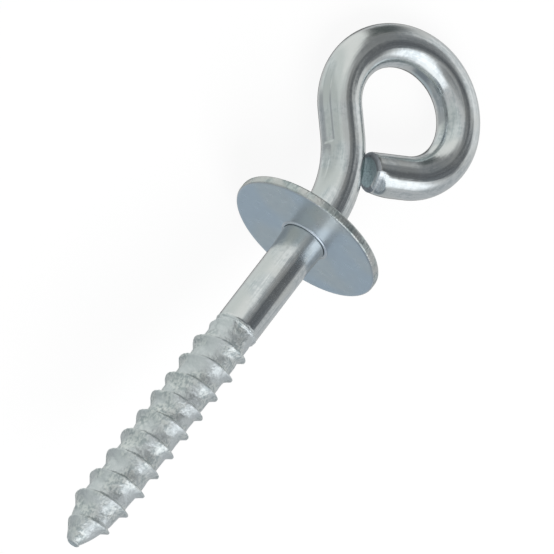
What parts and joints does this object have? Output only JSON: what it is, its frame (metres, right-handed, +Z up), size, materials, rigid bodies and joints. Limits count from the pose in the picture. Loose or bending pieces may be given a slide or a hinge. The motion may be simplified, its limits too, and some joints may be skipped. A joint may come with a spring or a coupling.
{
  "type": "screw eye",
  "caption": "Wire screw eye lying at rest: an offset open eye, a pressed-on round collar, a plain shank and a coarse wood-screw thread with a blunt point.",
  "frame": {"origin": "centre of the collar's seating face, on the shank's axis", "axes": "+Z up from the table that it lies on, +X along its length towards the eye and level, -X towards the thread's point"},
  "size_m": [0.0937, 0.027, 0.0274],
  "materials": {
    "zinc_plated_wire": "bright zinc-plated, bluish passivated",
    "zinc_plated_disc": "bright zinc-plated, bluish passivated, near-mirror face"
  },
  "bodies": {
    "root": {"eye_screw": "zinc_plated_wire", "collar_disc": "zinc_plated_disc"}
  },
  "joints": []
}
